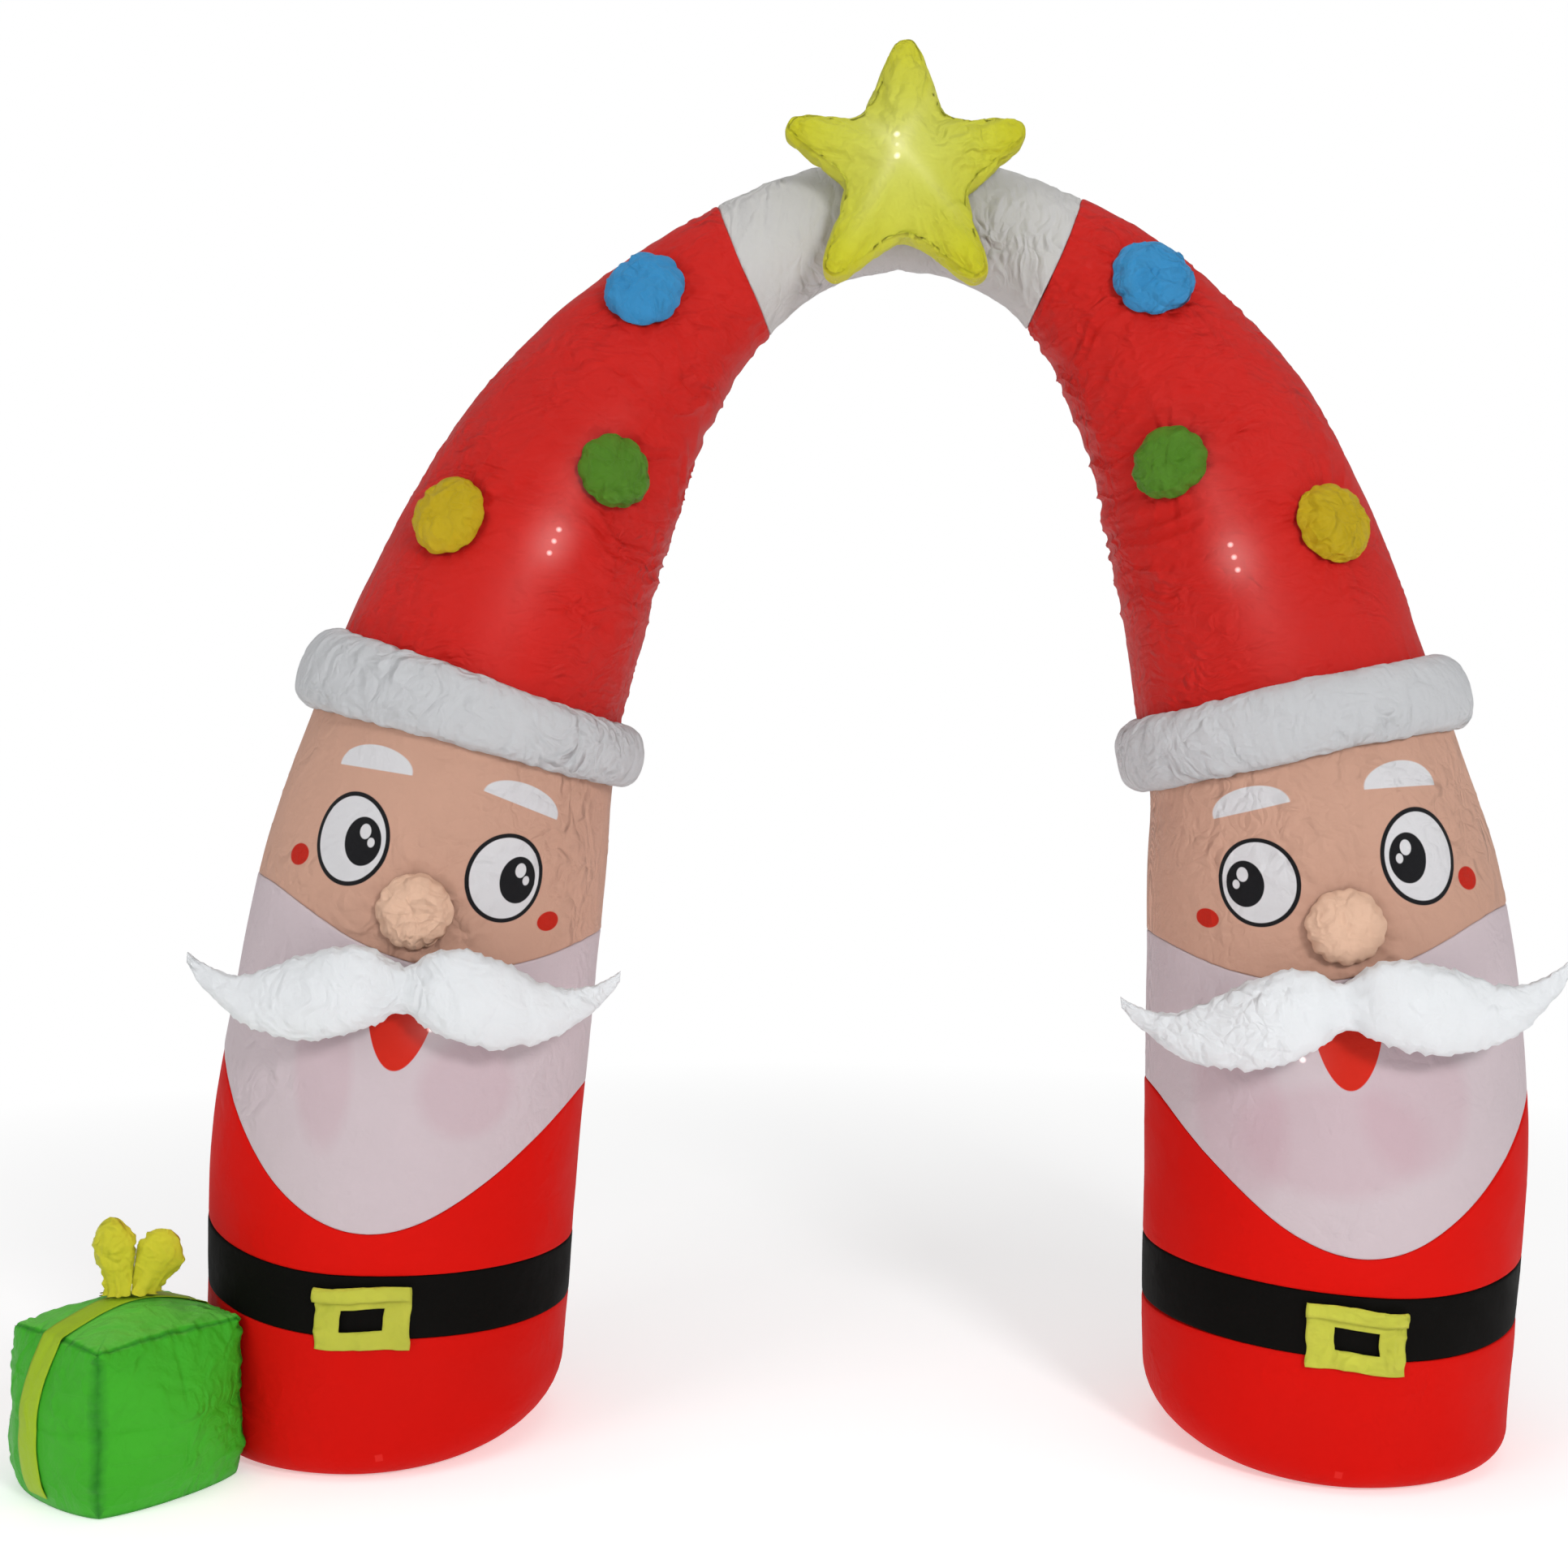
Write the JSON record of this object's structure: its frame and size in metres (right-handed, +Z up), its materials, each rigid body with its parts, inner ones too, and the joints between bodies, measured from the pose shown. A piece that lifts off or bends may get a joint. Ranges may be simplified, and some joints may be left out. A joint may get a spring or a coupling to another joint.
{
  "type": "inflatable arch",
  "caption": "Inflatable walk-through arch: two bearded pillars in red hats lean together under a star, with a present at one foot.",
  "frame": {"origin": "centre of the bounding box, on the floor", "axes": "+X to the right of someone who faces the arch, along its width; +Y from front to back; +Z up. The faces look towards -Y."},
  "size_m": [2.5195, 0.7944, 2.3784],
  "materials": {
    "red_cloth": "thin woven synthetic cloth, air-filled, slightly glossy",
    "black_cloth": "thin woven synthetic cloth, air-filled, slightly glossy",
    "beard_cloth": "thin woven synthetic cloth, air-filled, slightly glossy",
    "skin_cloth": "thin woven synthetic cloth, air-filled, slightly glossy",
    "hat_cloth": "thin woven synthetic cloth, air-filled, slightly glossy",
    "white_cloth": "thin woven synthetic cloth, air-filled, slightly glossy",
    "nose_cloth": "thin woven synthetic cloth, air-filled, slightly glossy",
    "buckle_cloth": "thin woven synthetic cloth, air-filled, slightly glossy",
    "blue_cloth": "thin woven synthetic cloth, air-filled, slightly glossy",
    "green_cloth": "thin woven synthetic cloth, air-filled, slightly glossy",
    "yellow_cloth": "thin woven synthetic cloth, air-filled, slightly glossy",
    "star_cloth": "thin woven synthetic cloth, air-filled, slightly glossy",
    "present_cloth": "thin woven synthetic cloth, air-filled, slightly glossy",
    "ribbon_cloth": "thin woven synthetic cloth, air-filled, slightly glossy"
  },
  "bodies": {
    "root": {"left_coat_lower": "red_cloth", "left_belt": "black_cloth", "left_coat_upper": "red_cloth", "left_beard": "beard_cloth", "left_face": "skin_cloth", "left_hat": "hat_cloth", "left_cuff": "white_cloth", "left_nose": "nose_cloth", "left_moustache": "white_cloth", "left_buckle": "buckle_cloth", "left_pompom_blue": "blue_cloth", "left_pompom_green": "green_cloth", "left_pompom_yellow": "yellow_cloth", "right_coat_lower": "red_cloth", "right_belt": "black_cloth", "right_coat_upper": "red_cloth", "right_beard": "beard_cloth", "right_face": "skin_cloth", "right_hat": "hat_cloth", "right_cuff": "white_cloth", "right_nose": "nose_cloth", "right_moustache": "white_cloth", "right_buckle": "buckle_cloth", "right_pompom_blue": "blue_cloth", "right_pompom_green": "green_cloth", "right_pompom_yellow": "yellow_cloth", "top_section": "white_cloth", "star": "star_cloth", "present_box": "present_cloth", "present_ribbon": "ribbon_cloth", "present_bow_left": "star_cloth", "present_bow_right": "star_cloth"}
  },
  "joints": []
}
